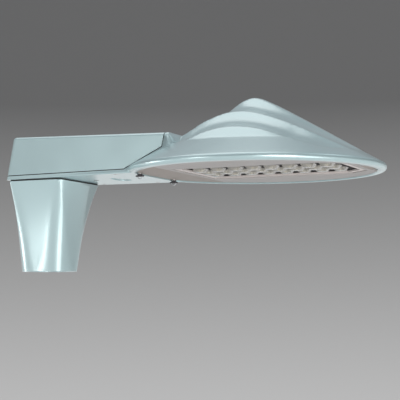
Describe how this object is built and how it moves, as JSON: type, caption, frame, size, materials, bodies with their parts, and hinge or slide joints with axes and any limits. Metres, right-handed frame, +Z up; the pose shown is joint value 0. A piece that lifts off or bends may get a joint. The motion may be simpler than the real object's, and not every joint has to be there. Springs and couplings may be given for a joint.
{
  "type": "led street light head",
  "caption": "Post-top LED luminaire head: stepped round shade on a box arm, with a flared neck that slips over the pole.",
  "frame": {"origin": "centre of the pole socket's mouth, at the neck's lower rim", "axes": "+Z up along the pole, +X along the arm towards the round shade"},
  "size_m": [0.6715, 0.437, 0.2913],
  "materials": {
    "grey_paint": "satin",
    "taupe_paint": "matte",
    "pale_trim": "matte",
    "lens_plastic": "gloss",
    "led_phosphor": "matte",
    "board_white": "matte",
    "mask_plastic": "matte",
    "black_rubber": "matte",
    "stainless": "satin",
    "zinc_steel": "satin",
    "bare_aluminium": "satin",
    "driver_case": "satin",
    "gear_plastic": "matte",
    "terminal_plastic": "matte",
    "earth_brass": "satin"
  },
  "bodies": {
    "root": {"board_screws": "stainless", "body_casting": "grey_paint", "breather_vent": "gear_plastic", "bulkhead_gland": "gear_plastic", "cable_clamp": "gear_plastic", "cable_grommet": "black_rubber", "cover_gasket": "black_rubber", "cover_screws": "stainless", "driver_screws": "stainless", "earth_screw": "earth_brass", "frame_gasket": "black_rubber", "frame_screws": "stainless", "gear_cover": "grey_paint", "gear_tray": "zinc_steel", "gear_tray_screws": "stainless", "led_board": "board_white", "led_chips": "led_phosphor", "led_driver": "driver_case", "led_spreader": "bare_aluminium", "lens_strip_1": "lens_plastic", "lens_strip_2": "lens_plastic", "lens_strip_3": "lens_plastic", "lens_strip_4": "lens_plastic", "lens_strip_5": "lens_plastic", "lens_strip_6": "lens_plastic", "lens_strip_7": "lens_plastic", "lens_strip_8": "lens_plastic", "mask_gasket": "black_rubber", "mask_screws": "stainless", "neck_bolt_washers": "stainless", "neck_bolts": "stainless", "neck_casting": "grey_paint", "neck_gasket": "black_rubber", "optics_bezel": "pale_trim", "optics_frame": "taupe_paint", "optics_mask": "mask_plastic", "pole_set_screws": "stainless", "spreader_screws": "stainless", "surge_protector": "gear_plastic", "terminal_block": "terminal_plastic"}
  },
  "joints": []
}
